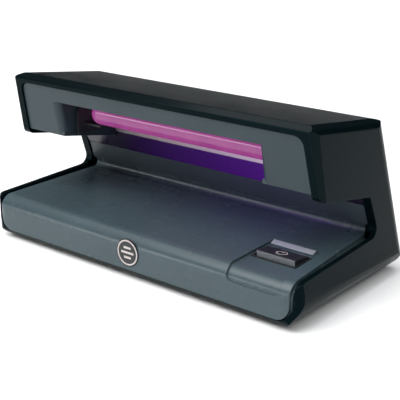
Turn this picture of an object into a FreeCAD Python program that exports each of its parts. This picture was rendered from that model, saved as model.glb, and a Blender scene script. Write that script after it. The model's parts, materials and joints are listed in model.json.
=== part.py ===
import FreeCAD, Part
import math
import os

# Counterfeit bill detector, in millimetres.
# +X is the right-hand side seen from the front, +Y runs to the back, +Z is up.
# The origin is on the desk, under the middle of the footprint.

V = FreeCAD.Vector

# Driving dimensions
WIDTH = 206.0
DEPTH = 102.0
HEIGHT = 92.0
GROUND_GAP = 1.5
WALL = 2.4
SIDE_LEAN = 0.08
LEAN_START = 12.0
TOP_SLOPE = 0.139
FIT = 0.3

# Shell
FRONT = -DEPTH / 2
BACK = DEPTH / 2
HALF = WIDTH / 2
RIM_WIDE = 5.0
RIM_DEEP = 3.0
BASE_WALL = 2.8
PLAN_ROUND = 8.5
TOP_ROUND = 5.0
REAR_ROUND = 11.0
LIP_TOP = 5.0
LIP_THICK = 2.6
HEAD_TOP_FRONT = -30.5
RIM_BOTTOM = HEIGHT - 4.4
RIM_BACK = -31.9
EAR_SLOPE = -0.2133
EAR_LOW = (-29.1, 56.6)
COLUMN_TOP = (14.5, 48.5)
COLUMN_FOOT = (22.5, 27.0)
REAR_KNEE = 18.0
REAR_TOP = (33.6, 83.1)
REAR_TOP_ROUND = 14.0
SIDE_TOP_FRONT = 24.2

# Bottom tray
TRAY_FRONT = -29.3
TRAY_SEAM_FRONT = 10.8
TRAY_SEAM_BACK = 9.2
TRAY_FLOOR = GROUND_GAP + 2.6

# Deck panel
PANEL_FRONT = FRONT + 0.5
PANEL_BOTTOM = LIP_TOP + 0.2
DECK_FRONT_Z = 23.9
DECK_RISE = 0.031
DECK_BACK = (23.7, 26.2)
DECK_END = (22.0, 30.8)
PANEL_THICK = 2.4
GROOVE = 2.0
DECK_HALF_FRONT = 97.8
DECK_HALF_BACK = 93.8
FLANGE_HALF = 98.7
RECESS = 1.2

# Lamp and hood
BEZEL_BACK_STEP = 1.0
BEZEL_THICK = 2.2
WINDOW_HALF = 66.5
WINDOW_TOP = 79.4
CHEEK_LOW = (-28.7, 59.6)
CHEEK_BACK = (12.0, 51.9)
TUBE_R = 6.2
TUBE_Z = 71.7
TUBE_FRONT_Y = -13.0
TUBE_GAP = 1.0
TUBE_LEFT = -58.0
BASE_LEFT = 69.5
BASE_RIGHT = 86.0
PIN_SPACING = 23.0
PIN_R = 1.3
CAVITY_BACK = 12.9
RAIL_BOTTOM = 54.5
RAIL_TOP = 58.0

# Rocker switch
ROCKER_X = (64.3, 87.0)
PIVOT = (-23.8, 21.5)
ROCKER_FRONT = (-29.4, 26.1)
ROCKER_BACK = (-18.2, 24.6)
FRAME_X = (63.0, 88.3)
FRAME_Y = (-31.6, -16.5)
FRAME_Z = (12.0, 23.8)
FRAME_WALL = 0.9
PIVOT_R = 1.0

# Badge
BADGE_R = 7.3
BADGE_Z = 14.7

# Fixings and feet
FOOT_R = 5.0
FOOT_PLACES = [(-82, -39), (82, -39), (-84, 38), (84, 38)]
DECK_POSTS = [(-84, -6), (84, -6)]
SHELL_POSTS = [(-60, 40), (60, 40)]
POST_R = 3.4
SCREW_R = 1.1
SCREW_HEAD_R = 2.8

# Circuit board
BOARD = (-78.0, 12.0, -22.0, 22.0)
BOARD_Z = 8.6
BOARD_THICK = 1.6
BOARD_TOP = BOARD_Z + BOARD_THICK

# Power inlet
INLET_X = -80.0
INLET_Z = 14.2
INLET_R = 4.0


def flat(corner):
    """Give a corner as (a, b, radius), with a sharp corner when no radius is named."""
    return (corner[0], corner[1], corner[2] if len(corner) > 2 else 0.0)


def inset(corners, depth):
    """Move every side of a closed outline inwards, keeping its rounded corners parallel."""
    points = [flat(c) for c in corners]
    count = len(points)
    area = 0.0
    for i in range(count):
        a, b = points[i], points[(i + 1) % count]
        area += a[0] * b[1] - b[0] * a[1]
    turn = 1.0 if area > 0 else -1.0
    moved = []
    for i in range(count):
        before, here, after = points[i - 1], points[i], points[(i + 1) % count]
        one = unit(before, here)
        two = unit(here, after)
        normal_one = (-one[1] * turn, one[0] * turn)
        normal_two = (-two[1] * turn, two[0] * turn)
        share = depth / (1 + normal_one[0] * normal_two[0] + normal_one[1] * normal_two[1])
        a = here[0] + (normal_one[0] + normal_two[0]) * share
        b = here[1] + (normal_one[1] + normal_two[1]) * share
        outward = (one[0] * two[1] - one[1] * two[0]) * turn > 0
        radius = max(here[2] - depth, 0.0) if outward else here[2] + depth
        moved.append((a, b, radius))
    return moved


def unit(start, end):
    """Unit direction from one 2D point to another."""
    length = math.hypot(end[0] - start[0], end[1] - start[1])
    return ((end[0] - start[0]) / length, (end[1] - start[1]) / length)


def sheet(path, thick):
    """Closed outline of a folded sheet: the path, and the same path offset to its left."""
    points = [flat(c) for c in path]
    far = []
    for i, here in enumerate(points):
        one = unit(points[i - 1], here) if i > 0 else unit(here, points[i + 1])
        two = unit(here, points[i + 1]) if i < len(points) - 1 else one
        normal_one = (-one[1], one[0])
        normal_two = (-two[1], two[0])
        share = thick / (1 + normal_one[0] * normal_two[0] + normal_one[1] * normal_two[1])
        a = here[0] + (normal_one[0] + normal_two[0]) * share
        b = here[1] + (normal_one[1] + normal_two[1]) * share
        left_turn = one[0] * two[1] - one[1] * two[0] > 0
        radius = max(here[2] - thick, 0.0) if left_turn else here[2] + thick
        far.append((a, b, radius if here[2] else 0.0))
    return points + far[::-1]


def outline(corners, place):
    """Wire through the corners, with an arc at every rounded one."""
    points = [flat(c) for c in corners]
    edges = []
    joins = []
    for i, here in enumerate(points):
        before, after = points[i - 1], points[(i + 1) % len(points)]
        back = unit(here, before)
        ahead = unit(here, after)
        if here[2] <= 0:
            joins.append((here[:2], None, here[:2]))
            continue
        cosine = back[0] * ahead[0] + back[1] * ahead[1]
        half = math.acos(max(-1.0, min(1.0, cosine))) / 2
        reach = here[2] / math.tan(half)
        middle = (back[0] + ahead[0], back[1] + ahead[1])
        size = math.hypot(*middle)
        middle = (middle[0] / size, middle[1] / size)
        depth = here[2] / math.sin(half) - here[2]
        start = (here[0] + back[0] * reach, here[1] + back[1] * reach)
        end = (here[0] + ahead[0] * reach, here[1] + ahead[1] * reach)
        crown = (here[0] + middle[0] * depth, here[1] + middle[1] * depth)
        joins.append((start, crown, end))
    for i, (start, crown, end) in enumerate(joins):
        if crown:
            edges.append(Part.Arc(place(*start), place(*crown), place(*end)).toShape())
        following = joins[(i + 1) % len(joins)][0]
        if math.hypot(following[0] - end[0], following[1] - end[1]) > 1e-6:
            edges.append(Part.makeLine(place(*end), place(*following)))
    return Part.Wire(edges)


def prism(axis, corners, start, end):
    """Solid made by running an outline along one axis."""
    run = end - start
    if axis == "x":
        wire = outline(corners, lambda a, b: V(start, a, b))
        return Part.Face(wire).extrude(V(run, 0, 0))
    if axis == "y":
        wire = outline(corners, lambda a, b: V(a, start, b))
        return Part.Face(wire).extrude(V(0, run, 0))
    wire = outline(corners, lambda a, b: V(a, b, start))
    return Part.Face(wire).extrude(V(0, 0, run))


def box(x0, x1, y0, y1, z0, z1):
    """Box between two opposite corners."""
    return Part.makeBox(x1 - x0, y1 - y0, z1 - z0, V(x0, y0, z0))


def rod(radius, start, end):
    """Cylinder between two points."""
    direction = V(*end) - V(*start)
    return Part.makeCylinder(radius, direction.Length, V(*start), direction)


def join(shapes):
    """One solid from overlapping shapes."""
    whole = shapes[0]
    for shape in shapes[1:]:
        whole = whole.fuse(shape)
    return whole.removeSplitter()


def half_width(y, z):
    """Half the width of the leaning body at one point of its side view."""
    return HALF - SIDE_LEAN * (z + TOP_SLOPE * y - LEAN_START)


def top_z(y):
    """Height of the sloping top."""
    return HEIGHT - TOP_SLOPE * (y - HEAD_TOP_FRONT)


def ear_front(z):
    """Front edge of the hood in side view."""
    return EAR_LOW[0] + EAR_SLOPE * (z - EAR_LOW[1])


def column_face(z):
    """Front edge of the column in side view."""
    slope = (COLUMN_FOOT[0] - COLUMN_TOP[0]) / (COLUMN_TOP[1] - COLUMN_FOOT[1])
    return COLUMN_TOP[0] + slope * (COLUMN_TOP[1] - z)


def side_view():
    """Side outline of the whole body, with the note throat open to the front."""
    return [
        (FRONT, GROUND_GAP, 6),
        (BACK, GROUND_GAP, 6),
        (BACK, REAR_KNEE, 25),
        (REAR_TOP[0], REAR_TOP[1], REAR_TOP_ROUND),
        (HEAD_TOP_FRONT, HEIGHT, 1.5),
        (ear_front(HEIGHT - 1.8), HEIGHT - 1.8, 0.8),
        (EAR_LOW[0], EAR_LOW[1], 4.5),
        (COLUMN_TOP[0], COLUMN_TOP[1], 2.5),
        (COLUMN_FOOT[0], COLUMN_FOOT[1], 5),
        (FRONT, SIDE_TOP_FRONT, 7.5),
    ]


def leaning_body(side_inset, top_inset=0.0):
    """Body with sides leaning in towards the sloping top, rounded along both top edges."""
    top = top_z(0) - top_inset
    low = -20.0
    wide_low = half_width(0, low) - side_inset
    wide_top = half_width(0, top) - side_inset
    corner = max(TOP_ROUND - side_inset, 2.0)
    corners = [(-wide_low, low), (wide_low, low), (wide_top, top, corner), (-wide_top, top, corner)]
    reach = 70.0
    wire = outline(corners, lambda a, b: V(a, -reach, b + reach * TOP_SLOPE))
    return Part.Face(wire).extrude(V(0, 2 * reach, -2 * reach * TOP_SLOPE))


def barrel(depth):
    """Front view limit with the rounded lower flanks."""
    low, wide = GROUND_GAP + depth, HALF - depth
    foot = wide - 7.0
    corners = [(-foot, low, 8), (foot, low, 8), (wide, 11, 12), (wide, 120), (-wide, 120), (-wide, 11, 12)]
    return prism("y", corners, -80, 80)


def plan(depth):
    """Plan view limit with rounded corners, a little narrower at the back."""
    front, back = HALF + 0.5 - depth, HALF - 0.7 - depth
    corner = PLAN_ROUND - depth
    corners = [
        (-front, FRONT + depth, corner),
        (front, FRONT + depth, corner),
        (back, BACK - depth, corner - 2),
        (-back, BACK - depth, corner - 2),
    ]
    return prism("z", corners, -20, 140)


def rear_rounding(depth):
    """Limit with the two rear edges rounded along the lean of the rear wall."""
    low, high = -20.0, 120.0
    lean = (REAR_TOP[0] - BACK) / (REAR_TOP[1] - REAR_KNEE)
    y_low = BACK + lean * (low - REAR_KNEE)
    y_high = BACK + lean * (high - REAR_KNEE)
    x_low, x_high = half_width(y_low, low), half_width(y_high, high)
    far = 300.0
    wide = x_low - depth + SIDE_LEAN * TOP_SLOPE * (y_low + far)
    limits = []
    for side in (-1, 1):
        corners = [
            (-side * far, -far),
            (side * wide, -far),
            (side * (x_low - depth), y_low - depth, REAR_ROUND - depth),
            (-side * far, y_low - depth),
        ]
        wire = outline(corners, lambda a, b: V(a, b, low))
        run = V(side * (x_high - x_low), y_high - y_low, high - low)
        limits.append(Part.Face(wire).extrude(run))
    return limits[0].common(limits[1])


def body():
    """Outside of the whole detector."""
    shape = prism("x", side_view(), -120, 120)
    for limit in (leaning_body(0), barrel(0), plan(0), rear_rounding(0)):
        shape = shape.common(limit)
    for side in (-1, 1):
        shape = shape.cut(ear_flat(side))
    return shape


def ear_flat(side):
    """Wedge taken off the outer front edge of each ear."""
    high = V(side * 96.6, ear_front(84), 84)
    low = V(side * 98.9, ear_front(59), 59)
    along = V(side * math.sin(math.radians(9)), math.cos(math.radians(9)), 0)
    outward = (low - high).cross(along)
    if outward.x * side < 0:
        outward = outward * -1
    block = Part.makeBox(400, 400, 60, V(-200, -200, 0))
    block.Placement = FreeCAD.Placement(low, FreeCAD.Rotation(V(0, 0, 1), outward))
    return block.common(box(-120, 120, -60, 0, 50, 100))


def inside_walls(depth):
    """Space inside the rounded flanks and corners."""
    return barrel(depth).common(plan(depth)).common(rear_rounding(depth))


def opening_view():
    """Side view of the space between the side panels, open towards the throat and the front."""
    inner = inset(side_view(), WALL)
    return [
        (-80, LIP_TOP),
        (FRONT + LIP_THICK, LIP_TOP),
        (FRONT + LIP_THICK, inner[0][1]),
        (inner[1][0], inner[1][1]),
        inner[2],
        inner[3],
        (RIM_BACK, top_z(RIM_BACK) - WALL),
        (RIM_BACK, RIM_BOTTOM),
        (-80, RIM_BOTTOM),
    ]


def hood_mouth(gap, start, end):
    """Front view of the hood mouth, with rounded upper corners."""
    top = RIM_BOTTOM - gap
    wide_top = half_width(-35, top) - RIM_WIDE - gap
    wide_low = half_width(-35, 27) - RIM_WIDE - gap
    corners = [(-wide_low, 27), (wide_low, 27), (wide_top, top, 5), (-wide_top, top, 5)]
    return prism("y", corners, start, end)


def tray_zone(gap):
    """Side view of the bottom tray."""
    corners = [(TRAY_FRONT, -5), (60, -5), (60, TRAY_SEAM_BACK), (TRAY_FRONT, TRAY_SEAM_FRONT, 6)]
    return prism("x", inset(corners, gap) if gap else corners, -120, 120)


def outer_shell():
    """C-shaped moulding: top, side panels, rear wall, front lip and hood rim."""
    shape = body()
    view = prism("x", opening_view(), -120, 120)
    hood = view.common(leaning_body(RIM_WIDE, WALL)).common(box(-120, 120, RIM_BACK, 60, 27, 120))
    hood = hood.common(rear_rounding(WALL))
    mouth = hood_mouth(0, -80, RIM_BACK)
    base = view.common(leaning_body(BASE_WALL)).common(barrel(BASE_WALL)).common(rear_rounding(BASE_WALL))
    base = base.common(box(-120, 120, -80, 60, LIP_TOP, 29))
    base = base.cut(box(-120, 120, 0, 60, 0, 40).cut(plan(BASE_WALL)))
    floor = view.common(inside_walls(WALL)).common(box(-120, 120, -80, 60, -5, LIP_TOP))
    pocket = prism("x", inset(side_view(), RIM_DEEP), -120, 120).common(view)
    pocket = pocket.common(leaning_body(WALL, WALL)).common(inside_walls(WALL))
    for space in (hood, mouth, base, floor, pocket, tray_zone(0)):
        shape = shape.cut(space)
    for x, y in SHELL_POSTS:
        web = box(x - 1, x + 1, y, BACK + 1, 12, 26)
        post = join([rod(POST_R, (x, y, TRAY_FLOOR + FIT), (x, y, 26)), web])
        post = post.common(prism("x", inset(side_view(), 0.6), -120, 120))
        shape = shape.fuse(post.cut(rod(SCREW_R + 0.05, (x, y, 0), (x, y, 18))))
    for x, y in FOOT_PLACES[:2]:
        shape = shape.cut(rod(FOOT_R + 0.1, (x, y, 0), (x, y, GROUND_GAP + 0.8)))
    shape = shape.cut(rod(INLET_R + FIT, (INLET_X, 40, INLET_Z), (INLET_X, 60, INLET_Z)))
    return shape.removeSplitter()


def bottom_tray():
    """Floor of the case with board posts, screw holes and rear foot seats."""
    shape = body().common(tray_zone(FIT))
    room = box(-120, 120, TRAY_FRONT + FIT + 2.4, BACK - WALL, TRAY_FLOOR, 40)
    shape = shape.cut(room.common(inside_walls(WALL)))
    x0, x1, y0, y1 = BOARD
    for x in (x0 + 5, x1 - 5):
        for y in (y0 + 5, y1 - 5):
            shape = shape.fuse(rod(2.6, (x, y, TRAY_FLOOR - 0.5), (x, y, BOARD_Z)))
    for x, y in DECK_POSTS + SHELL_POSTS:
        shape = shape.cut(rod(SCREW_R + 0.4, (x, y, 0), (x, y, 8)))
        shape = shape.cut(rod(SCREW_HEAD_R + 0.3, (x, y, 0), (x, y, GROUND_GAP + 1.3)))
    for x, y in FOOT_PLACES[2:]:
        shape = shape.cut(rod(FOOT_R + 0.1, (x, y, 0), (x, y, GROUND_GAP + 0.8)))
    return shape.removeSplitter()


def deck_path(drop):
    """Side view of the deck surface, from the front face up to the foot of the column."""
    path = [
        (PANEL_FRONT, PANEL_BOTTOM),
        (PANEL_FRONT, DECK_FRONT_Z, 8),
        (DECK_BACK[0], DECK_BACK[1], 2.8),
        (DECK_END[0], DECK_END[1]),
    ]
    if not drop:
        return [path[3], path[2], path[1], path[0]]
    return sheet([path[3], path[2], path[1], path[0]], drop)[4:][::-1]


def deck_z(y):
    """Height of the deck surface."""
    return DECK_FRONT_Z + DECK_RISE * (y - PANEL_FRONT)


def panel_front(half):
    """Front view limit of the deck panel, with rounded lower corners."""
    corners = [(-half, PANEL_BOTTOM, 7.5), (half, PANEL_BOTTOM, 7.5), (half, 60), (-half, 60)]
    return prism("y", corners, -80, 80)


def recess_tool():
    """Shallow channel round the switch, running over the rounded front edge."""
    skin = prism("x", sheet(deck_path(0), RECESS), 50, 100)
    above = [(58.2, -10.3, 3), (89.3, -10.3, 3), (93.8, -70), (64.0, -70)]
    ahead = [(61.5, 16.3, 5), (93.0, 16.3, 5), (93.0, 60), (61.5, 60)]
    front = prism("y", ahead, -80, 80)
    return skin.common(prism("z", above, 0, 60)).common(front)


def deck_panel():
    """Inset panel: note deck, rounded front edge, front face, switch recess and screw posts."""
    taper = [
        (-DECK_HALF_FRONT, -80),
        (DECK_HALF_FRONT, -80),
        (DECK_HALF_FRONT, -45),
        (DECK_HALF_BACK, DECK_BACK[0]),
        (DECK_HALF_BACK, 60),
        (-DECK_HALF_BACK, 60),
        (-DECK_HALF_BACK, DECK_BACK[0]),
        (-DECK_HALF_FRONT, -45),
    ]
    skin = prism("x", sheet(deck_path(0), PANEL_THICK), -110, 110)
    skin = skin.common(prism("z", taper, -10, 60)).common(panel_front(DECK_HALF_FRONT))
    ledge = prism("x", sheet(deck_path(GROOVE), 1.6), -110, 110)
    narrow = box(-FLANGE_HALF, FLANGE_HALF, -80, DECK_BACK[0] - 3, 0, 60)
    ledge = ledge.common(narrow).common(panel_front(FLANGE_HALF))
    shape = skin.fuse(ledge).common(plan(0.5)).common(barrel(BASE_WALL + FIT))
    for x, y in DECK_POSTS:
        post = rod(POST_R, (x, y, TRAY_FLOOR + FIT), (x, y, deck_z(y) - 1))
        shape = shape.fuse(post.cut(rod(SCREW_R + 0.05, (x, y, 0), (x, y, 16))))
    shape = shape.cut(recess_tool())
    shape = shape.cut(box(FRAME_X[0] - 0.2, FRAME_X[1] + 0.2, FRAME_Y[0] - 0.2, FRAME_Y[1] + 0.2, 10, 40))
    seat = rod(BADGE_R + 0.1, (0, PANEL_FRONT - 1, BADGE_Z), (0, PANEL_FRONT + 0.5, BADGE_Z))
    return shape.cut(seat).removeSplitter()


def column_panel():
    """Sloping front wall of the column, behind the back edge of the deck."""
    path = [(column_face(42.2) + 0.9, 42.2), (column_face(31.1) + 0.9, 31.1)]
    shape = prism("x", sheet(path, 2.2), -110, 110)
    return shape.common(leaning_body(RIM_WIDE + FIT, WALL))


def rear_lower_panel():
    """Dark glossy strip from the column panel up to the reflector rail, lower beside the cheeks."""
    top, low = (11.6, 54.0), (17.3, 42.6)
    shape = prism("x", sheet([top, low], 1.5), -110, 110)
    middle = box(-WINDOW_HALF + FIT, WINDOW_HALF - FIT, 0, 40, 40, 60)
    shape = shape.common(middle.fuse(box(-110, 110, 0, 40, 40, 51)))
    return shape.common(leaning_body(RIM_WIDE + FIT, WALL)).removeSplitter()


def lamp_bezel():
    """Hood frame: top bar, two hollow cheeks beside the lamp window, and their undersides."""
    lean = V(0, EAR_SLOPE, 1)
    low, high = 50.0, RIM_BOTTOM - FIT
    face = ear_front(low) + BEZEL_BACK_STEP
    parts = []
    for side in (-1, 1):
        path = [(side * 110, face), (side * WINDOW_HALF, face, 4), (side * WINDOW_HALF, 14)]
        if side > 0:
            path = path[::-1]
        wire = outline(sheet(path, BEZEL_THICK), lambda a, b: V(a, b, low))
        parts.append(Part.Face(wire).extrude(lean * (high - low)))
        under = sheet([CHEEK_LOW, CHEEK_BACK], BEZEL_THICK)
        start = side * WINDOW_HALF if side > 0 else -110
        parts.append(prism("x", under, start, start + 110 - WINDOW_HALF))
    bar = [
        (ear_front(WINDOW_TOP) + BEZEL_BACK_STEP, WINDOW_TOP),
        (ear_front(WINDOW_TOP) + BEZEL_BACK_STEP + BEZEL_THICK, WINDOW_TOP),
        (ear_front(high) + BEZEL_BACK_STEP + BEZEL_THICK, high),
        (ear_front(high) + BEZEL_BACK_STEP, high),
    ]
    parts.append(prism("x", bar, -90, 90))
    shape = join(parts)
    below = [(-60, CHEEK_LOW[1]), CHEEK_LOW, CHEEK_BACK, (60, CHEEK_BACK[1]), (60, 0), (-60, 0)]
    shape = shape.cut(prism("x", below, -120, 120))
    shape = shape.common(box(-120, 120, -60, CHEEK_BACK[0], 0, 120))
    shape = shape.common(leaning_body(RIM_WIDE + FIT, WALL + 1)).common(hood_mouth(FIT, -60, 60))
    front, back = TUBE_FRONT_Y - TUBE_R - 1.3, TUBE_FRONT_Y + 3 * TUBE_R + TUBE_GAP + 1.2
    low, high = TUBE_Z - TUBE_R - 1, TUBE_Z + TUBE_R + 1
    slot = [(front, low, 5), (back, low, 5), (back, high, 5), (front, high, 5)]
    return shape.cut(prism("x", slot, 60, 80)).removeSplitter()


def reflector():
    """Folded reflector over and behind the lamp."""
    path = [(-29.0, 81.0), (-24, 83.4, 3), (7.5, 80.6, 6), (CAVITY_BACK, 68, 8), (CAVITY_BACK, 55.0)]
    return prism("x", sheet(path, 0.8), -WINDOW_HALF + FIT, WINDOW_HALF - FIT)


def reflector_rail():
    """Pale rail that closes the lower edge of the reflector."""
    front, back = CAVITY_BACK - 2.3, CAVITY_BACK - 0.9
    corners = [(front, RAIL_BOTTOM, 0.4), (back, RAIL_BOTTOM), (back, RAIL_TOP), (front, RAIL_TOP, 0.4)]
    return prism("x", corners, -WINDOW_HALF + 1, WINDOW_HALF - 1)


def tube_centres():
    """Depth positions of the two lamp tubes."""
    return [TUBE_FRONT_Y, TUBE_FRONT_Y + 2 * TUBE_R + TUBE_GAP]


def uv_lamp_tubes():
    """Two glass tubes with round ends, joined by a short bridge."""
    parts = []
    for y in tube_centres():
        parts.append(rod(TUBE_R, (TUBE_LEFT + TUBE_R, y, TUBE_Z), (BASE_LEFT + 3, y, TUBE_Z)))
        parts.append(Part.makeSphere(TUBE_R, V(TUBE_LEFT + TUBE_R, y, TUBE_Z)))
    first, second = tube_centres()
    parts.append(rod(2.4, (TUBE_LEFT + 9, first, TUBE_Z), (TUBE_LEFT + 9, second, TUBE_Z)))
    return join(parts)


def lamp_middle():
    """Depth of the middle of the lamp."""
    return sum(tube_centres()) / 2


def pin_centres():
    """Depth positions of the two lamp pins."""
    return [lamp_middle() - PIN_SPACING / 2, lamp_middle() + PIN_SPACING / 2]


def uv_lamp_base():
    """Moulded lamp base with a starter block between the pins."""
    mid = lamp_middle()
    front, back = mid - 15.2, mid + 15.2
    low, high = TUBE_Z - 8.3, TUBE_Z + 8.3
    corners = [(front, low, 3), (back, low, 3), (back, high, 3), (front, high, 3)]
    shape = prism("x", corners, BASE_LEFT, BASE_RIGHT)
    key = box(BASE_RIGHT - 1, BASE_RIGHT + 5, mid - 5, mid + 5, TUBE_Z - 4.5, TUBE_Z + 4.5)
    shape = shape.fuse(key)
    for y in tube_centres():
        shape = shape.cut(rod(TUBE_R + 0.1, (BASE_LEFT - 1, y, TUBE_Z), (BASE_LEFT + 3.2, y, TUBE_Z)))
    for y in pin_centres():
        shape = shape.cut(rod(PIN_R, (BASE_RIGHT - 3, y, TUBE_Z), (BASE_RIGHT + 1, y, TUBE_Z)))
    return shape.removeSplitter()


def lamp_pin(y):
    """Brass contact pin of the lamp."""
    return rod(PIN_R - 0.02, (BASE_RIGHT - 3, y, TUBE_Z), (BASE_RIGHT + 6, y, TUBE_Z))


def lamp_socket():
    """Socket that takes the lamp base and its pins."""
    mid = lamp_middle()
    left = BASE_RIGHT + FIT
    shape = box(left, 94.4, mid - 16, mid + 16, TUBE_Z - 9, TUBE_Z + 8.6)
    key_seat = box(left - 1, BASE_RIGHT + 5.3, mid - 5.3, mid + 5.3, TUBE_Z - 4.8, TUBE_Z + 4.8)
    shape = shape.cut(key_seat)
    for y in pin_centres():
        shape = shape.cut(rod(PIN_R + 0.08, (left - 1, y, TUBE_Z), (BASE_RIGHT + 6.3, y, TUBE_Z)))
    return shape.removeSplitter()


def lamp_clip():
    """Bracket at the free end of the lamp, with a finger under each tube."""
    mid = lamp_middle()
    back = CAVITY_BACK - 1.1
    front, low, high = mid - 14, RAIL_TOP + 1, TUBE_Z + 1.8
    corners = [(front, low, 2), (back, low), (back, high - 7.5), (back - 2.4, high, 2), (front, high, 2)]
    plate = prism("x", corners, -65.4, -64.2)
    top = TUBE_Z - TUBE_R - FIT
    fingers = [box(-64.4, -52, y - 2.5, y + 2.5, top - 1.1, top) for y in tube_centres()]
    return join([plate] + fingers)


def rocker_solid():
    """Rocker before the symbol and grip are let into it."""
    front, back = PIVOT[0] - 1.5, PIVOT[0] + 1.5
    view = [
        (ROCKER_FRONT[0], ROCKER_FRONT[1], 0.4),
        (-28.3, 20.0),
        (front, 20.0),
        (front, 17.2, 0.8),
        (back, 17.2, 0.8),
        (back, 20.0),
        (-19.2, 20.0),
        (ROCKER_BACK[0], ROCKER_BACK[1], 0.6),
    ]
    return prism("x", view, ROCKER_X[0], ROCKER_X[1])


def on_rocker_top(shape):
    """Set a shape drawn on the level onto the tilted top of the rocker."""
    (y0, z0), (y1, z1) = ROCKER_FRONT, ROCKER_BACK
    centre = V(sum(ROCKER_X) / 2, (y0 + y1) / 2, (z0 + z1) / 2)
    tilt = math.degrees(math.atan2(z1 - z0, y1 - y0))
    shape.Placement = FreeCAD.Placement(centre, FreeCAD.Rotation(V(1, 0, 0), tilt))
    return shape


def symbol_ring(gap):
    """Open ring of the power symbol, sunk into the rocker."""
    ring = Part.makeCylinder(2.9 + gap, 0.45 + gap, V(0, 0, -0.4 - gap))
    ring = ring.cut(Part.makeCylinder(2.3 - gap, 4, V(0, 0, -2)))
    return on_rocker_top(ring.cut(box(-0.9 + gap, 0.9 - gap, 0, 4, -2, 4)))


def symbol_bar(gap):
    """Upright bar of the power symbol, sunk into the rocker."""
    return on_rocker_top(box(-0.3 - gap, 0.3 + gap, 0.6 - gap, 3.1 + gap, -0.4 - gap, 0.05))


def grip_view():
    """Side view of the ribbed grip on the front face of the rocker."""
    slope = (-28.3 - ROCKER_FRONT[0]) / (ROCKER_FRONT[1] - 20.0)
    top, low = ROCKER_FRONT[1] - 0.5, 22.6
    return [
        (ROCKER_FRONT[0] + slope * (ROCKER_FRONT[1] - top) + 0.7, top),
        (ROCKER_FRONT[0] + slope * (ROCKER_FRONT[1] - top) - 0.1, top),
        (ROCKER_FRONT[0] + slope * (ROCKER_FRONT[1] - low) - 0.1, low),
        (ROCKER_FRONT[0] + slope * (ROCKER_FRONT[1] - low) + 0.7, low),
    ]


def rocker_button():
    """Rocker with a pivot bore, a seat for the grip and a sunk symbol."""
    shape = rocker_solid().cut(symbol_ring(0.02)).cut(symbol_bar(0.02))
    shape = shape.cut(prism("x", inset(grip_view(), -0.02), ROCKER_X[0] + 0.5, ROCKER_X[1] - 0.5))
    return shape.cut(rod(PIVOT_R + 0.06, (60, PIVOT[0], PIVOT[1]), (92, PIVOT[0], PIVOT[1])))


def rocker_grip_strip():
    """Ribbed strip let into the front face of the rocker."""
    shape = prism("x", grip_view(), ROCKER_X[0] + 0.55, ROCKER_X[1] - 0.55)
    count = 16
    pitch = (ROCKER_X[1] - ROCKER_X[0] - 1.1) / count
    for i in range(1, count):
        x = ROCKER_X[0] + 0.55 + i * pitch
        groove = prism("x", inset(grip_view(), 0.25), x - 0.25, x + 0.25)
        shape = shape.cut(groove.translated(V(0, -0.35, 0)))
    return shape


def rocker_pivot_pin():
    """Steel pin that the rocker turns on."""
    return rod(PIVOT_R, (FRAME_X[0] + 0.1, *PIVOT), (FRAME_X[1] - 0.1, *PIVOT))


def switch_body():
    """Open switch housing that hangs in the deck and carries the pivot pin."""
    x0, x1 = FRAME_X
    y0, y1 = FRAME_Y
    shape = box(x0, x1, y0, y1, *FRAME_Z)
    wall = FRAME_WALL
    shape = shape.cut(box(x0 + wall, x1 - wall, y0 + wall, y1 - wall, FRAME_Z[0] + 2, 30))
    shape = shape.cut(rod(PIVOT_R + 0.02, (60, *PIVOT), (92, *PIVOT)))
    for x in (70, 81):
        shape = shape.cut(box(x - 2.1, x + 2.1, -21.5, -20.5, 10, 16))
    return shape


def switch_terminal(x):
    """Blade terminal through the switch floor."""
    return box(x - 2, x + 2, -21.4, -20.6, 7, 15)


def recess_trim_bar():
    """Pale ramp at the back of the switch recess."""
    floor = deck_z(-13.8) - RECESS
    corners = [(-13.8, floor + 0.12), (-10.6, floor + 0.22), (-10.6, deck_z(-10.6) - 0.05)]
    return prism("x", corners, 61.8, 86.4)


def badge_disc():
    """Round plain badge let into the front face."""
    shape = rod(BADGE_R, (0, PANEL_FRONT - 0.4, BADGE_Z), (0, PANEL_FRONT + 0.45, BADGE_Z))
    ring = badge_ring_tool(0.03)
    for bar in badge_bars(0.03):
        shape = shape.cut(bar)
    return shape.cut(ring)


def badge_ring_tool(gap):
    """Ring groove near the rim of the badge."""
    front = PANEL_FRONT - 0.38
    ring = rod(BADGE_R - 0.5 + gap, (0, front - gap * 2, BADGE_Z), (0, PANEL_FRONT + gap, BADGE_Z))
    return ring.cut(rod(BADGE_R - 1.3 - gap, (0, front - 2, BADGE_Z), (0, PANEL_FRONT + 2, BADGE_Z)))


def badge_bars(gap):
    """Three level bars of different length as a plain emblem."""
    front, back = PANEL_FRONT - 0.38 - gap * 2, PANEL_FRONT + gap
    bars = []
    for rise, half in ((-2.6, 2.4), (0.0, 4.2), (2.6, 2.4)):
        low, high = BADGE_Z + rise - 0.6 - gap, BADGE_Z + rise + 0.6 + gap
        bars.append(box(-half - gap, half + gap, front, back, low, high))
    return bars


def badge_ring():
    """Pale ring of the badge."""
    return badge_ring_tool(0.0)


def tray_screw(x, y):
    """Self-tapping screw under the tray, with a cross slot."""
    head = rod(SCREW_HEAD_R, (x, y, GROUND_GAP + 0.1), (x, y, GROUND_GAP + 1.2))
    shape = join([head, rod(SCREW_R, (x, y, GROUND_GAP + 1), (x, y, 15))])
    for wide, deep in ((2.0, 0.35), (0.35, 2.0)):
        shape = shape.cut(box(x - wide, x + wide, y - deep, y + deep, GROUND_GAP, GROUND_GAP + 0.8))
    return shape


def rubber_foot(x, y):
    """Round rubber foot seated in its recess."""
    shape = rod(FOOT_R, (x, y, 0), (x, y, GROUND_GAP + 0.75))
    return shape.makeFillet(0.5, [e for e in shape.Edges if e.BoundBox.ZMax < 0.01])


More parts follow.
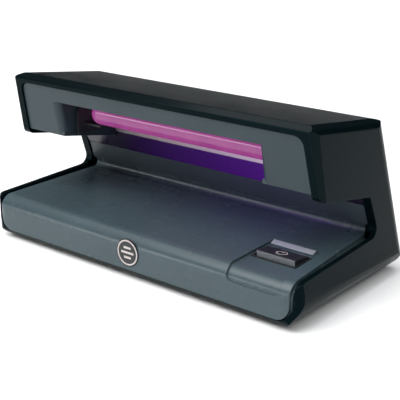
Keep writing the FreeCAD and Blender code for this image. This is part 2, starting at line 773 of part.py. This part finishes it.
def circuit_board():
    """Printed board with rounded corners and four screw holes over the posts."""
    x0, x1, y0, y1 = BOARD
    corners = [(x0, y0, 2), (x1, y0, 2), (x1, y1, 2), (x0, y1, 2)]
    shape = prism("z", corners, BOARD_Z + 0.02, BOARD_TOP)
    for x in (x0 + 5, x1 - 5):
        for y in (y0 + 5, y1 - 5):
            shape = shape.cut(rod(1.2, (x, y, 0), (x, y, 20)))
    return shape


def choke_core():
    """Laminated core of the choke: a closed frame round the winding."""
    shape = box(-70, -44, -8, 10, BOARD_TOP + 0.05, 20.4)
    return shape.cut(box(-65, -49, -20, 20, 12.4, 18.4))


def choke_winding():
    """Winding that fills the core window and bulges out at both sides."""
    corners = [(-11.5, 12.6, 2), (13.5, 12.6, 2), (13.5, 18.2, 2), (-11.5, 18.2, 2)]
    return prism("x", corners, -64.7, -49.3)


def capacitor_can():
    """Electrolytic capacitor standing on the board."""
    shape = rod(5, (-32, -8, BOARD_TOP + 0.05), (-32, -8, 20.2))
    return shape.makeFillet(0.8, [e for e in shape.Edges if e.BoundBox.ZMin > 20.1])


def film_capacitor():
    """Box capacitor standing on the board."""
    shape = box(-22, -9, 6, 12, BOARD_TOP + 0.05, 19.5)
    return shape.makeFillet(0.8, [e for e in shape.Edges if e.BoundBox.ZMin > 19.4])


def power_transistor():
    """Transistor body standing in front of its heat sink."""
    return box(-14, -4, -12, -8, BOARD_TOP + 0.05, 19.0)


def heat_sink():
    """Bent plate with fins behind the transistor."""
    plate = box(-18, 0, -7.8, -6.6, BOARD_TOP + 0.05, 20.5)
    fins = [box(x, x + 1, -7, -3.6, BOARD_TOP + 0.05, 20.5) for x in (-18, -12.3, -6.7, -1)]
    return join([plate] + fins)


def fuse_glass():
    """Glass body of the fuse."""
    return rod(2.3, (-72, 17, 13.2), (-60, 17, 13.2))


def fuse_cap(x):
    """Metal end cap of the fuse."""
    return rod(2.6, (x, 17, 13.2), (x + 3.6, 17, 13.2))


def terminal_block():
    """Screw terminal block at the right-hand end of the board."""
    shape = box(2, 10, -10, 10, BOARD_TOP + 0.05, 18)
    for y in (-7.5, -2.5, 2.5, 7.5):
        shape = shape.cut(rod(1.5, (6, y, 15), (6, y, 20)))
    return shape


def power_inlet():
    """Round power inlet in the rear wall, with a centre contact."""
    nose = rod(INLET_R, (INLET_X, 44, INLET_Z), (INLET_X, BACK - 0.3, INLET_Z))
    block = box(INLET_X - 6, INLET_X + 6, 36, 45.5, INLET_Z - 4.4, INLET_Z + 6)
    shape = join([nose, block])
    return shape.cut(rod(2.9, (INLET_X, 40, INLET_Z), (INLET_X, 60, INLET_Z)))


def inlet_centre_pin():
    """Centre contact of the power inlet."""
    return rod(1.0, (INLET_X, 40.2, INLET_Z), (INLET_X, BACK - 2, INLET_Z))


def wire(points, radius=0.75, bend=3.0):
    """Insulated wire along a route with rounded bends."""
    spots = [V(*p) for p in points]
    edges = []
    start = spots[0]
    for i in range(1, len(spots) - 1):
        back = (spots[i - 1] - spots[i]).normalize()
        ahead = (spots[i + 1] - spots[i]).normalize()
        half = back.getAngle(ahead) / 2
        reach = bend / math.tan(half)
        middle = (back + ahead).normalize()
        crown = spots[i] + middle * (bend / math.sin(half) - bend)
        edges.append(Part.makeLine(start, spots[i] + back * reach))
        edges.append(Part.Arc(spots[i] + back * reach, crown, spots[i] + ahead * reach).toShape())
        start = spots[i] + ahead * reach
    edges.append(Part.makeLine(start, spots[-1]))
    route = Part.Wire(edges)
    section = Part.Wire(Part.makeCircle(radius, spots[0], spots[1] - spots[0]))
    return route.makePipeShell([section], True, True)


def inlet_wire(side):
    """Wire from the inlet to the left-hand end of the board."""
    x = INLET_X + side * 3
    return wire([(x, 35.8, INLET_Z), (x, 27, INLET_Z), (x + 8, 24, 13), (x + 8, 20, 11.2)], bend=1.6)


def switch_wire(y, x):
    """Wire from the terminal block to one switch terminal."""
    track = -14 + y / 2
    return wire([(10.2, y, 14), (18, y, 14), (26, track, 8.5), (x, track, 8.5), (x, -20.4, 8.5)], bend=2.0)


def lamp_wire(y, shift):
    """Wire from the terminal block up the column to the lamp socket."""
    route = [
        (10.2, y, 14),
        (18 - shift, y, 14),
        (26 - shift, 30 + shift, 15),
        (66 - shift, 31 + shift, 22),
        (82 - shift, 29 + shift, 52),
        (90 - shift * 0.8, 20 + shift, 70 + shift),
        (90 - shift * 0.8, 10, 70 + shift),
    ]
    return wire(route, bend=3.0)


def build():
    """Every separate piece, by name."""
    nodes = {
        "outer_shell": outer_shell(),
        "deck_panel": deck_panel(),
        "column_panel": column_panel(),
        "rear_lower_panel": rear_lower_panel(),
        "lamp_bezel": lamp_bezel(),
        "reflector": reflector(),
        "reflector_rail": reflector_rail(),
        "uv_lamp_tubes": uv_lamp_tubes(),
        "uv_lamp_base": uv_lamp_base(),
        "lamp_pin_front": lamp_pin(pin_centres()[0]),
        "lamp_pin_rear": lamp_pin(pin_centres()[1]),
        "lamp_socket": lamp_socket(),
        "lamp_clip": lamp_clip(),
        "rocker_button": rocker_button(),
        "rocker_symbol_ring": symbol_ring(0.0),
        "rocker_symbol_bar": symbol_bar(0.0),
        "rocker_grip_strip": rocker_grip_strip(),
        "rocker_pivot_pin": rocker_pivot_pin(),
        "switch_body": switch_body(),
        "switch_terminal_left": switch_terminal(70),
        "switch_terminal_right": switch_terminal(81),
        "recess_trim_bar": recess_trim_bar(),
        "badge_disc": badge_disc(),
        "badge_ring": badge_ring(),
        "bottom_tray": bottom_tray(),
        "circuit_board": circuit_board(),
        "choke_core": choke_core(),
        "choke_winding": choke_winding(),
        "capacitor_can": capacitor_can(),
        "film_capacitor": film_capacitor(),
        "power_transistor": power_transistor(),
        "heat_sink": heat_sink(),
        "fuse_glass": fuse_glass(),
        "fuse_cap_left": fuse_cap(-75.7),
        "fuse_cap_right": fuse_cap(-59.9),
        "terminal_block": terminal_block(),
        "power_inlet": power_inlet(),
        "inlet_centre_pin": inlet_centre_pin(),
        "inlet_wire_red": inlet_wire(-1),
        "inlet_wire_black": inlet_wire(1),
        "switch_wire_a": switch_wire(-7.5, 70),
        "switch_wire_b": switch_wire(-2.5, 81),
        "lamp_wire_a": lamp_wire(2.5, 0),
        "lamp_wire_b": lamp_wire(7.5, 3),
    }
    for name, bar in zip(("badge_bar_low", "badge_bar_middle", "badge_bar_high"), badge_bars(0.0)):
        nodes[name] = bar
    feet = ("foot_front_left", "foot_front_right", "foot_rear_left", "foot_rear_right")
    for name, place in zip(feet, FOOT_PLACES):
        nodes[name] = rubber_foot(*place)
    screws = ("screw_front_left", "screw_front_right", "screw_rear_left", "screw_rear_right")
    for name, place in zip(screws, DECK_POSTS + SHELL_POSTS):
        nodes[name] = tray_screw(*place)
    return nodes


os.makedirs("parts", exist_ok=True)
for name, shape in build().items():
    shape.exportStep("parts/" + name + ".step")
    print(name, "solids", len(shape.Solids), "valid", shape.isValid(), "volume", round(shape.Volume, 1))
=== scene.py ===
import json
import math

import bpy
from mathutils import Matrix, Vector


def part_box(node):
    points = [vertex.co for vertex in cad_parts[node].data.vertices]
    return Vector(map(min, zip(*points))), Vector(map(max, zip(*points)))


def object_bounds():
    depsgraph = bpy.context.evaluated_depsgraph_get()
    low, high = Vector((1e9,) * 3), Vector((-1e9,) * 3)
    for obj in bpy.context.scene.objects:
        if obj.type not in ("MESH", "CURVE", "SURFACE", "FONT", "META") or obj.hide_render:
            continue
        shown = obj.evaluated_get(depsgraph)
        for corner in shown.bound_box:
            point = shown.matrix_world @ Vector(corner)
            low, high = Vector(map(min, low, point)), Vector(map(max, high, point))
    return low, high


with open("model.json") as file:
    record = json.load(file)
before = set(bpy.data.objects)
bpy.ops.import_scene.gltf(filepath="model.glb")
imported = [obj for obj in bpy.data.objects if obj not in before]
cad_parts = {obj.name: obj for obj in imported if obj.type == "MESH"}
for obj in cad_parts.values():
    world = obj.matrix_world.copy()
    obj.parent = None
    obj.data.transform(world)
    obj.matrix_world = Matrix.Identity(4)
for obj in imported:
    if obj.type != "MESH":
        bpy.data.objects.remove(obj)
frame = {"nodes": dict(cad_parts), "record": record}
cad_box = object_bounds()
NODES = frame["nodes"]

# Camera: same side and height as the photograph's, aimed close to the middle of the object
VIEW_AZIMUTH = math.radians(39.19)
VIEW_ELEVATION = math.radians(18.86)
VIEW_DISTANCE = 0.516
VIEW_TARGET = Vector((0.00594, 0.0, 0.03065))
LENS_MM = 86.85
SENSOR_MM = 36.0

# Edge rounding seen only by the shading, and how far a normal turns where an edge is worn
EDGE_ROUND = 0.00035
WORN_FULLY = 0.90
WORN_NOT = 0.99

# Patches per metre of colour drift and of uneven gloss, and the depth of the moulded grain
DRIFT_SCALE = 38.0
GLOSS_SCALE = 60.0
GRAIN_DEPTH = 0.0001
SCRATCH_DEPTH = 0.00005
GLASS_RELIEF = 0.0002

# Half the length of the lamp window, over which the painted lamp glow runs
LAMP_REACH = 0.066

# Nodes whose finish differs a little from the rest of their material slot; the rail's own finish carries
# painted lamp glow
OWN_FINISH = {"reflector_rail": "rail", "column_panel": "column"}

# Grain shared by the finely moulded case parts and by the small switch parts
CASE_GRAIN = {"grain": 2400.0, "relief": 0.02}
SWITCH_GRAIN = {"grain": 2000.0, "relief": 0.08}

# Lights on the white set: name, place, aim, size and watts
FLOOR_SIZE = 8.0
OBJECT_MIDDLE = (0.0, 0.0, 0.04)
STUDIO_LIGHTS = [
    ("key_light", (-0.3, -0.9, 1.3), OBJECT_MIDDLE, (1.2, 1.2), 21),
    ("right_light", (1.3, -0.5, 0.7), OBJECT_MIDDLE, (0.8, 0.8), 4),
    ("top_light", (0.0, 0.2, 2.6), (0.0, 0.2, 0.0), (5.0, 5.0), 120),
    ("rim_light", (-1.0, -1.35, 0.3), (0.0, 0.0, 0.08), (0.7, 0.25), 4),
]
SKY_STRENGTH = 0.22

# Light under the lamp: name, place along the tubes from left to right, and watts
GLOW_LIGHTS = [
    ("glow_left", 0.30, 0.001),
    ("glow_middle", 0.60, 0.004),
    ("glow_right", 0.88, 0.006),
]
GLOW_COLOR = (0.28, 0.03, 1.0)
GLOW_SIZE = (0.036, 0.010)
GLOW_GAP = 0.0006
GLOW_BACK = 0.022
GLOW_DROP = 0.016


def new_material(name):
    """Node material with an empty tree, its shader and its output."""
    material = bpy.data.materials.new(name)
    material.use_nodes = True
    tree = material.node_tree
    tree.nodes.clear()
    out = tree.nodes.new("ShaderNodeOutputMaterial")
    shader = tree.nodes.new("ShaderNodeBsdfPrincipled")
    tree.links.new(shader.outputs["BSDF"], out.inputs["Surface"])
    return material, tree, shader


def noise(tree, coords, scale, detail=4.0, roughness=0.55):
    """Noise texture on the object's own coordinates."""
    node = tree.nodes.new("ShaderNodeTexNoise")
    node.inputs["Scale"].default_value = scale
    node.inputs["Detail"].default_value = detail
    node.inputs["Roughness"].default_value = roughness
    tree.links.new(coords, node.inputs["Vector"])
    return node.outputs["Fac"]


def ramp(tree, factor, low, high, start=0.35, end=0.65):
    """Two-stop ramp from one value or colour to another."""
    node = tree.nodes.new("ShaderNodeValToRGB")
    node.color_ramp.elements[0].position = start
    node.color_ramp.elements[1].position = end
    node.color_ramp.elements[0].color = low
    node.color_ramp.elements[1].color = high
    tree.links.new(factor, node.inputs["Fac"])
    return node.outputs["Color"]


def grey(value):
    """Opaque grey as a colour."""
    return (value, value, value, 1.0)


def tint(color, gain):
    """Colour made lighter or darker."""
    return tuple(min(c * gain, 1.0) for c in color[:3]) + (1.0,)


def mix(tree, factor, first, second):
    """Blend of two colours by a factor."""
    node = tree.nodes.new("ShaderNodeMix")
    node.data_type = "RGBA"
    tree.links.new(factor, node.inputs[0])
    for socket, value in ((node.inputs[6], first), (node.inputs[7], second)):
        if isinstance(value, tuple):
            socket.default_value = value
        else:
            tree.links.new(value, socket)
    return node.outputs[2]


def rounded_normal(tree):
    """Normal with the sharp edges softened."""
    node = tree.nodes.new("ShaderNodeBevel")
    node.samples = 4
    node.inputs["Radius"].default_value = EDGE_ROUND
    return node.outputs["Normal"]


def bump(tree, height, strength, distance, normal):
    """Fine relief laid over a normal."""
    node = tree.nodes.new("ShaderNodeBump")
    node.inputs["Strength"].default_value = strength
    node.inputs["Distance"].default_value = distance
    tree.links.new(height, node.inputs["Height"])
    tree.links.new(normal, node.inputs["Normal"])
    return node.outputs["Normal"]


def object_coords(tree):
    """Coordinates fixed to the object, in metres."""
    return tree.nodes.new("ShaderNodeTexCoord").outputs["Object"]


def edge_factor(tree):
    """White along worn edges, where the rounded normal turns away from the true one."""
    geometry = tree.nodes.new("ShaderNodeNewGeometry")
    turn = tree.nodes.new("ShaderNodeVectorMath")
    turn.operation = "DOT_PRODUCT"
    tree.links.new(rounded_normal(tree), turn.inputs[0])
    tree.links.new(geometry.outputs["Normal"], turn.inputs[1])
    return ramp(tree, turn.outputs["Value"], grey(1), grey(0), WORN_FULLY, WORN_NOT)


def along_length(tree, start, end):
    """Zero to one between two positions along the object's length."""
    split = tree.nodes.new("ShaderNodeSeparateXYZ")
    tree.links.new(object_coords(tree), split.inputs["Vector"])
    span = tree.nodes.new("ShaderNodeMapRange")
    span.inputs["From Min"].default_value = start
    span.inputs["From Max"].default_value = end
    tree.links.new(split.outputs["X"], span.inputs["Value"])
    return span.outputs["Result"]


def surface(name, color, rough, specular=0.5, metal=0.0, grain=1400.0, relief=0.12, spread=0.08,
            rough_spread=0.03, wear=1.6, tone=(1.0, 1.0, 1.0)):
    """Moulded, painted or metal surface with grain, uneven gloss, colour drift and worn edges."""
    material, tree, shader = new_material(name)
    coords = object_coords(tree)
    drift = noise(tree, coords, DRIFT_SCALE, 3.0)
    base = ramp(tree, drift, tint(color, 1 - spread), tint(color, 1 + spread), 0.25, 0.75)
    base = mix(tree, edge_factor(tree), base, tint(color, wear))
    tree.links.new(base, shader.inputs["Base Color"])
    gloss = noise(tree, coords, GLOSS_SCALE, 2.0)
    low, high = max(rough - rough_spread, 0.02), min(rough + rough_spread, 1.0)
    tree.links.new(ramp(tree, gloss, grey(low), grey(high), 0.2, 0.8), shader.inputs["Roughness"])
    fine = noise(tree, coords, grain, 3.0, 0.6)
    tree.links.new(bump(tree, fine, relief, GRAIN_DEPTH, rounded_normal(tree)), shader.inputs["Normal"])
    shader.inputs["Metallic"].default_value = metal
    shader.inputs["Specular IOR Level"].default_value = specular
    shader.inputs["Specular Tint"].default_value = tone + (1.0,)
    return material


def paint_lamp_glow(material, dim, bright):
    """Paint the lamp's light into a finish as emission: a painted glow, stronger towards the lamp base,
    and none beyond the lamp window.
    """
    tree = material.node_tree
    shader = tree.nodes["Principled BSDF"]
    place = along_length(tree, -LAMP_REACH, LAMP_REACH)
    lit = ramp(tree, place, dim, bright, 0.0, 0.99)
    lit.node.color_ramp.elements.new(1.0).color = grey(0)
    tree.links.new(lit, shader.inputs["Emission Color"])
    shader.inputs["Emission Strength"].default_value = 1.0
    return material


def brushed(name, color, rough, axis_scale):
    """Metal drawn along one direction, with long fine scratches."""
    material, tree, shader = new_material(name)
    coords = object_coords(tree)
    stretch = tree.nodes.new("ShaderNodeMapping")
    stretch.inputs["Scale"].default_value = axis_scale
    tree.links.new(coords, stretch.inputs["Vector"])
    lines = noise(tree, stretch.outputs["Vector"], 1.0, 6.0)
    base = ramp(tree, lines, tint(color, 0.85), tint(color, 1.1))
    tree.links.new(base, shader.inputs["Base Color"])
    tree.links.new(ramp(tree, lines, grey(rough - 0.08), grey(rough + 0.12)), shader.inputs["Roughness"])
    tree.links.new(bump(tree, lines, 0.15, SCRATCH_DEPTH, rounded_normal(tree)), shader.inputs["Normal"])
    shader.inputs["Metallic"].default_value = 1.0
    return material


def lit_tube():
    """Glowing pink-violet glass, mottled inside."""
    material, tree, shader = new_material("lit_lamp_glass")
    coords = object_coords(tree)
    cloud = noise(tree, coords, 60.0, 3.0)
    glow = ramp(tree, cloud, (0.38, 0.050, 0.27, 1.0), (0.46, 0.070, 0.33, 1.0), 0.3, 0.7)
    tree.links.new(glow, shader.inputs["Emission Color"])
    shader.inputs["Emission Strength"].default_value = 0.64
    glass = ramp(tree, cloud, (0.05, 0.01, 0.04, 1.0), (0.07, 0.02, 0.05, 1.0))
    tree.links.new(glass, shader.inputs["Base Color"])
    tree.links.new(ramp(tree, cloud, grey(0.12), grey(0.22)), shader.inputs["Roughness"])
    tree.links.new(bump(tree, cloud, 0.05, GLASS_RELIEF, rounded_normal(tree)), shader.inputs["Normal"])
    return material


def clear_glass():
    """Thin clear glass with faint waviness."""
    material, tree, shader = new_material("clear_glass")
    coords = object_coords(tree)
    wave = noise(tree, coords, 120.0, 2.0)
    glass = ramp(tree, wave, (0.86, 0.9, 0.9, 1.0), (0.94, 0.96, 0.96, 1.0))
    tree.links.new(glass, shader.inputs["Base Color"])
    tree.links.new(ramp(tree, wave, grey(0.03), grey(0.08)), shader.inputs["Roughness"])
    tree.links.new(bump(tree, wave, 0.05, GLASS_RELIEF, rounded_normal(tree)), shader.inputs["Normal"])
    shader.inputs["Transmission Weight"].default_value = 0.9
    return material


def floor_material():
    """Pale studio floor with barely visible mottling."""
    material, tree, shader = new_material("studio_floor")
    coords = object_coords(tree)
    soft = noise(tree, coords, 3.0, 2.0)
    tree.links.new(ramp(tree, soft, grey(0.90), grey(0.93)), shader.inputs["Base Color"])
    shader.inputs["Roughness"].default_value = 0.9
    shader.inputs["Specular IOR Level"].default_value = 0.1
    return material


def case_finishes():
    """Finishes of the shell, the panels, the tray and the feet."""
    return {
        "shell": surface("shell_black", (0.0014, 0.0044, 0.0056), 0.14, 0.04, grain=2400, relief=0.015,
                         wear=5.0, tone=(0.35, 0.85, 1.0)),
        "tray": surface("tray_textured", (0.022, 0.030, 0.032), 0.50, 0.35, grain=1600, relief=0.30),
        "panel": surface("panel_satin", (0.043, 0.068, 0.078), 0.27, 0.4, wear=1.5, **CASE_GRAIN),
        "panel_dark": surface("bezel_satin", (0.022, 0.039, 0.047), 0.36, 0.3, wear=1.5, **CASE_GRAIN),
        "column": surface("column_satin", (0.050, 0.068, 0.078), 0.36, 0.4, wear=1.3, **CASE_GRAIN),
        "rubber": surface("foot_rubber", (0.018, 0.018, 0.018), 0.75, 0.3, grain=1800, relief=0.35),
    }


def lamp_finishes():
    """Finishes of the lamp and of everything close to it in the hood, the rear gloss and the rail with
    painted lamp glow.
    """
    # Rear gloss and rail: painted lamp glow, emission brighter along the length standing in for the
    # lamp's light falling on them
    rear_gloss_painted_glow = surface("rear_gloss_painted_glow", (0.012, 0.008, 0.020), 0.22, 0.5, **CASE_GRAIN)
    rail_plastic_painted_glow = surface("rail_moulding_painted_glow", (0.20, 0.18, 0.18), 0.45, 0.4, relief=0.08, wear=1.05)
    return {
        "lamp_glass": lit_tube(),
        "gloss_black": paint_lamp_glow(rear_gloss_painted_glow, (0.001, 0.0, 0.003, 1.0), (0.055, 0.0037, 0.17, 1.0)),
        "rail": paint_lamp_glow(rail_plastic_painted_glow, (0.004, 0.003, 0.004, 1.0), (0.32, 0.25, 0.26, 1.0)),
        "reflector": brushed("reflector_sheet", (0.42, 0.40, 0.48), 0.30, (6.0, 900.0, 900.0)),
        "white_plastic": surface("white_moulding", (0.78, 0.78, 0.75), 0.4, 0.4, relief=0.08, wear=1.05),
        "brass": brushed("brass_pins", (0.78, 0.60, 0.30), 0.25, (300.0, 300.0, 300.0)),
    }


def switch_finishes():
    """Finishes of the rocker switch, its recess and the badge."""
    return {
        "black_plastic": surface("black_moulding", (0.014, 0.015, 0.018), 0.38, 0.4, wear=2.0,
                                 **SWITCH_GRAIN),
        "grip": surface("grip_moulding", (0.26, 0.28, 0.31), 0.42, 0.4, wear=1.4, **SWITCH_GRAIN),
        "pale_plastic": surface("pale_moulding", (0.52, 0.47, 0.46), 0.45, 0.4, relief=0.08, wear=1.05),
        # Silver trim: pale colour is a painted highlight on the recess's rear slope, standing in for
        # sheen on the deck moulding
        "trim_silver": surface("silver_trim_painted_highlight", (0.28, 0.31, 0.33), 0.40, 0.4, metal=0.1, grain=2600,
                               relief=0.05, wear=1.2),
        "steel": brushed("plated_steel", (0.60, 0.61, 0.63), 0.28, (500.0, 500.0, 500.0)),
        "badge_black": surface("badge_gloss", (0.010, 0.011, 0.012), 0.22, 0.5, relief=0.03),
    }


def board_finishes():
    """Finishes of the circuit board, its parts and the wires."""
    return {
        "board_green": surface("solder_mask", (0.02, 0.17, 0.07), 0.35, 0.5, relief=0.15),
        "iron": surface("laminated_iron", (0.10, 0.10, 0.11), 0.55, 0.5, metal=0.8, relief=0.3),
        "copper_tape": surface("winding_tape", (0.62, 0.36, 0.07), 0.4, 0.4, relief=0.15),
        "capacitor": surface("capacitor_sleeve", (0.03, 0.045, 0.16), 0.35, 0.5, relief=0.06),
        "film": surface("film_case", (0.52, 0.38, 0.05), 0.45, 0.4, relief=0.1),
        "aluminium": brushed("fin_aluminium", (0.66, 0.67, 0.69), 0.32, (40.0, 40.0, 900.0)),
        "clear_glass": clear_glass(),
        "terminal_green": surface("terminal_case", (0.04, 0.28, 0.15), 0.45, 0.4, relief=0.1),
        "wire_red": surface("wire_red_sleeve", (0.45, 0.02, 0.02), 0.4, 0.4, relief=0.05),
        "wire_black": surface("wire_black_sleeve", (0.015, 0.015, 0.015), 0.4, 0.4, relief=0.05),
        "wire_white": surface("wire_white_sleeve", (0.70, 0.70, 0.66), 0.4, 0.4, relief=0.05),
    }


def dress_nodes():
    """Give every CAD node the finish of its slot, or its own where it has one."""
    finishes = {**case_finishes(), **lamp_finishes(), **switch_finishes(), **board_finishes()}
    for part in frame["record"]["subparts"]:
        target = NODES[part["node"]]
        finish = OWN_FINISH.get(part["node"], part["material_slot"])
        target.data.materials.clear()
        target.data.materials.append(finishes[finish])


def aim(holder, target):
    """Turn a lamp or camera towards a point."""
    holder.rotation_euler = (target - holder.location).to_track_quat("-Z", "Y").to_euler()


def soft_box(name, place, target, size, watts, color=(1.0, 1.0, 1.0)):
    """Rectangular studio light."""
    data = bpy.data.lights.new(name, "AREA")
    data.shape = "RECTANGLE"
    data.size, data.size_y = size
    data.energy = watts
    data.color = color
    holder = bpy.data.objects.new(name, data)
    holder.location = Vector(place)
    aim(holder, Vector(target))
    bpy.context.scene.collection.objects.link(holder)


def hood_glow():
    """Violet light that the lamp throws back and down on the column and the deck."""
    low, high = (Vector(corner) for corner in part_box("uv_lamp_tubes"))
    middle = 0.5 * (low + high)
    for name, share, watts in GLOW_LIGHTS:
        x = low.x + (high.x - low.x) * share
        start = (x, middle.y, low.z - GLOW_GAP)
        target = (x, middle.y + GLOW_BACK, low.z - GLOW_DROP)
        soft_box(name, start, target, GLOW_SIZE, watts, GLOW_COLOR)


def build_floor():
    """Plain pale floor under the object."""
    bpy.ops.mesh.primitive_plane_add(size=FLOOR_SIZE, location=(0, 0, cad_box[0][2]))
    floor = bpy.context.object
    floor.name = "studio_floor"
    floor.data.materials.append(floor_material())


def build_world():
    """Surroundings that are dark at the horizon and pale overhead."""
    world = bpy.data.worlds.new("studio_world")
    world.use_nodes = True
    tree = world.node_tree
    split = tree.nodes.new("ShaderNodeSeparateXYZ")
    direction = tree.nodes.new("ShaderNodeTexCoord").outputs["Generated"]
    tree.links.new(direction, split.inputs["Vector"])
    sky = ramp(tree, split.outputs["Z"], (0.01, 0.01, 0.01, 1.0), (0.9, 0.94, 1.0, 1.0), 0.25, 0.70)
    tree.links.new(sky, tree.nodes["Background"].inputs["Color"])
    tree.nodes["Background"].inputs["Strength"].default_value = SKY_STRENGTH
    bpy.context.scene.world = world


def build_camera():
    """Camera at the photograph's angle."""
    data = bpy.data.cameras.new("photo_camera")
    data.lens = LENS_MM
    data.sensor_width = SENSOR_MM
    data.clip_start = 0.01
    holder = bpy.data.objects.new("photo_camera", data)
    level = math.cos(VIEW_ELEVATION)
    side, front = math.sin(VIEW_AZIMUTH) * level, math.cos(VIEW_AZIMUTH) * level
    holder.location = VIEW_TARGET + Vector((side, -front, math.sin(VIEW_ELEVATION))) * VIEW_DISTANCE
    aim(holder, VIEW_TARGET)
    bpy.context.scene.collection.objects.link(holder)
    bpy.context.scene.camera = holder


dress_nodes()
hood_glow()
build_floor()
for light in STUDIO_LIGHTS:
    soft_box(*light)
build_world()
build_camera()
bpy.context.scene.view_settings.view_transform = "Standard"
